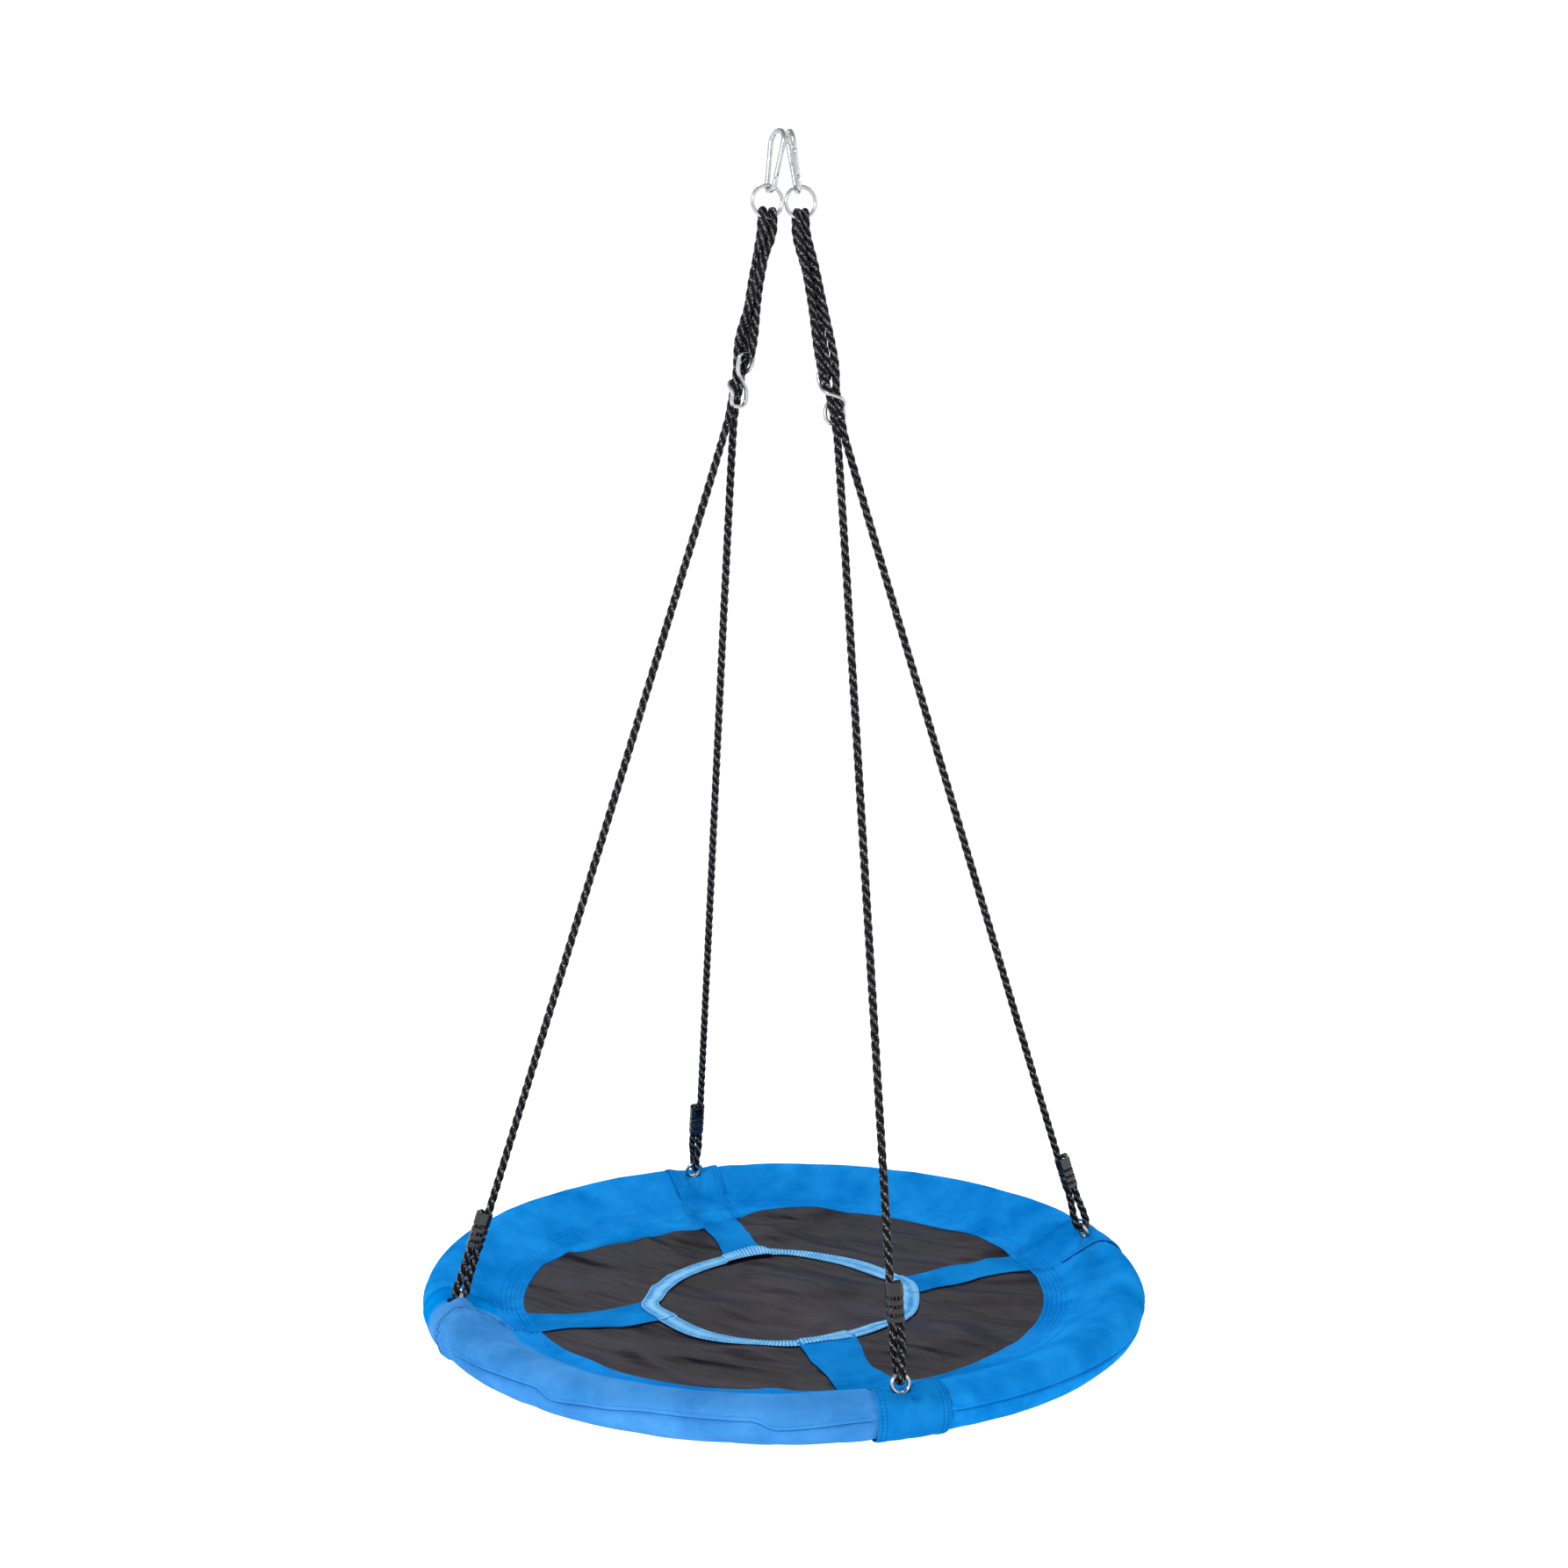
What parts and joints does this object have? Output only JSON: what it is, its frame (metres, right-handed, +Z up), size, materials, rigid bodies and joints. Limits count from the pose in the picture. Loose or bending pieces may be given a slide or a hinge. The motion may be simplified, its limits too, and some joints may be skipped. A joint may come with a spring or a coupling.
{
  "type": "saucer nest swing",
  "caption": "Round padded saucer swing: blue rim, dark cloth seat, looped black ropes with adjusters, welded rings and snap hooks.",
  "frame": {"origin": "the hanging point, where the two snap hooks' top bows bear on the hanger", "axes": "+Z up along the line of hang; X along the row of the two rings and through the left and right eye bolts; the seat swings fore and aft along Y"},
  "size_m": [1.0012, 1.0012, 1.6116],
  "materials": {
    "zinc_steel": "bright zinc plate",
    "clamp_plastic": "moulded, glossy",
    "black_rope": "twisted polyethylene rope",
    "frame_steel": "powder coat, hidden in the rim",
    "white_foam": "closed-cell foam, hidden in the rim",
    "dark_cloth": "coated Oxford cloth, dark grey",
    "blue_webbing": "ribbed webbing",
    "blue_cloth": "Oxford cloth, blue"
  },
  "bodies": {
    "snap_hooks": {"hook_body_left": "zinc_steel", "hook_body_right": "zinc_steel", "hook_pin_left": "zinc_steel", "hook_pin_right": "zinc_steel"},
    "gate_left": {"hook_gate_left": "zinc_steel", "hook_spring_left": "zinc_steel"},
    "gate_right": {"hook_gate_right": "zinc_steel", "hook_spring_right": "zinc_steel"},
    "rings": {"ring_left": "zinc_steel", "ring_right": "zinc_steel"},
    "seat_and_ropes": {"adjuster_left": "zinc_steel", "adjuster_right": "zinc_steel", "bolt_nuts": "zinc_steel", "bolt_washers": "zinc_steel", "eye_bolt_back": "zinc_steel", "eye_bolt_front": "zinc_steel", "eye_bolt_left": "zinc_steel", "eye_bolt_right": "zinc_steel", "foam_sleeve_back_left": "white_foam", "foam_sleeve_front_right": "white_foam", "foam_sleeve_left_front": "white_foam", "foam_sleeve_right_back": "white_foam", "frame_tube_back_left": "frame_steel", "frame_tube_front_right": "frame_steel", "frame_tube_left_front": "frame_steel", "frame_tube_right_back": "frame_steel", "rim_band_back": "blue_cloth", "rim_band_front": "blue_cloth", "rim_band_left": "blue_cloth", "rim_band_right": "blue_cloth", "rim_cover_back_left": "blue_cloth", "rim_cover_front_right": "blue_cloth", "rim_cover_left_front": "blue_cloth", "rim_cover_right_back": "blue_cloth", "rope_clamp_back": "clamp_plastic", "rope_clamp_front": "clamp_plastic", "rope_clamp_left": "clamp_plastic", "rope_clamp_right": "clamp_plastic", "rope_left": "black_rope", "rope_right": "black_rope", "seat_border": "blue_cloth", "seat_cloth": "dark_cloth", "seat_spoke_back": "blue_cloth", "seat_spoke_front": "blue_cloth", "seat_spoke_left": "blue_cloth", "seat_spoke_right": "blue_cloth", "webbing_ring": "blue_webbing"}
  },
  "joints": [
    {"name": "gate_hinge_left", "type": "hinge", "parent": "snap_hooks", "child": "gate_left", "pos_m": [-0.01408, -0.00991, -0.05633], "axis": [-0.954, -0.2556, 0.1565], "range_deg": [0, 28], "stiffness_Nm_per_rad": 0.4, "springref_deg": -11.46},
    {"name": "gate_hinge_right", "type": "hinge", "parent": "snap_hooks", "child": "gate_right", "pos_m": [0.0158, -0.01021, -0.05605], "axis": [-0.9832, 0.086, -0.1612], "range_deg": [0, 28], "stiffness_Nm_per_rad": 0.4, "springref_deg": -11.46},
    {"name": "ring_swing", "type": "hinge", "parent": "snap_hooks", "child": "rings", "pos_m": [0, 0, -0.06799], "axis": [1, 0, 0], "range_deg": [-50, 50]},
    {"name": "rope_swing", "type": "hinge", "parent": "rings", "child": "seat_and_ropes", "pos_m": [0, 0, -0.10849], "axis": [1, 0, 0], "range_deg": [-15, 15]}
  ]
}
